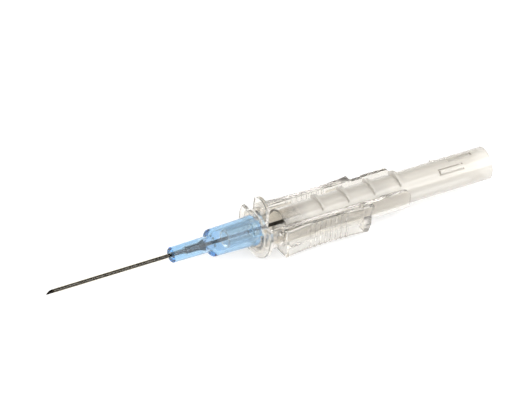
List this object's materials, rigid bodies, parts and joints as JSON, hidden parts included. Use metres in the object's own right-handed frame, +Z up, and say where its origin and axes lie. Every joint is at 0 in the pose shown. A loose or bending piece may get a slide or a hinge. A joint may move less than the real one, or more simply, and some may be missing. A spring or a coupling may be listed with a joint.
{
  "type": "iv cannula",
  "caption": "Intravenous cannula on its steel needle: translucent blue luer hub, clear flange with finger tab, sliding tubular needle guard and an open-topped grip housing.",
  "frame": {"origin": "middle of the underside of the bounding box", "axes": "+X along the needle from its tip to the rear of the guard, +Z up through the finger tab, so the piece is symmetric about the XZ plane"},
  "size_m": [0.0988, 0.0116, 0.0126],
  "materials": {
    "clear_plastic": "clear moulded, glossy",
    "hub_blue": "translucent moulded, glossy",
    "tube_clear": "clear extruded, glossy",
    "needle_steel": "drawn and polished",
    "wedge_steel": "drawn and polished",
    "adhesive": "clear cured bead",
    "cap_plastic": "natural moulded",
    "filter_white": "porous white"
  },
  "bodies": {
    "housing": {"needle_housing": "clear_plastic", "needle_hub": "clear_plastic", "needle": "needle_steel", "needle_adhesive": "adhesive", "vent_cap": "cap_plastic", "vent_filter": "filter_white"},
    "guard": {"needle_guard": "clear_plastic"},
    "catheter": {"catheter_hub": "hub_blue", "catheter_tube": "tube_clear", "catheter_wedge": "wedge_steel"}
  },
  "joints": [
    {"name": "guard_slide", "type": "slide", "parent": "housing", "child": "guard", "axis": [-1, 0, 0], "range_m": [0, 0.0416]},
    {"name": "catheter_slide", "type": "slide", "parent": "guard", "child": "catheter", "axis": [-1, 0, 0], "range_m": [0, 0.0466]}
  ]
}
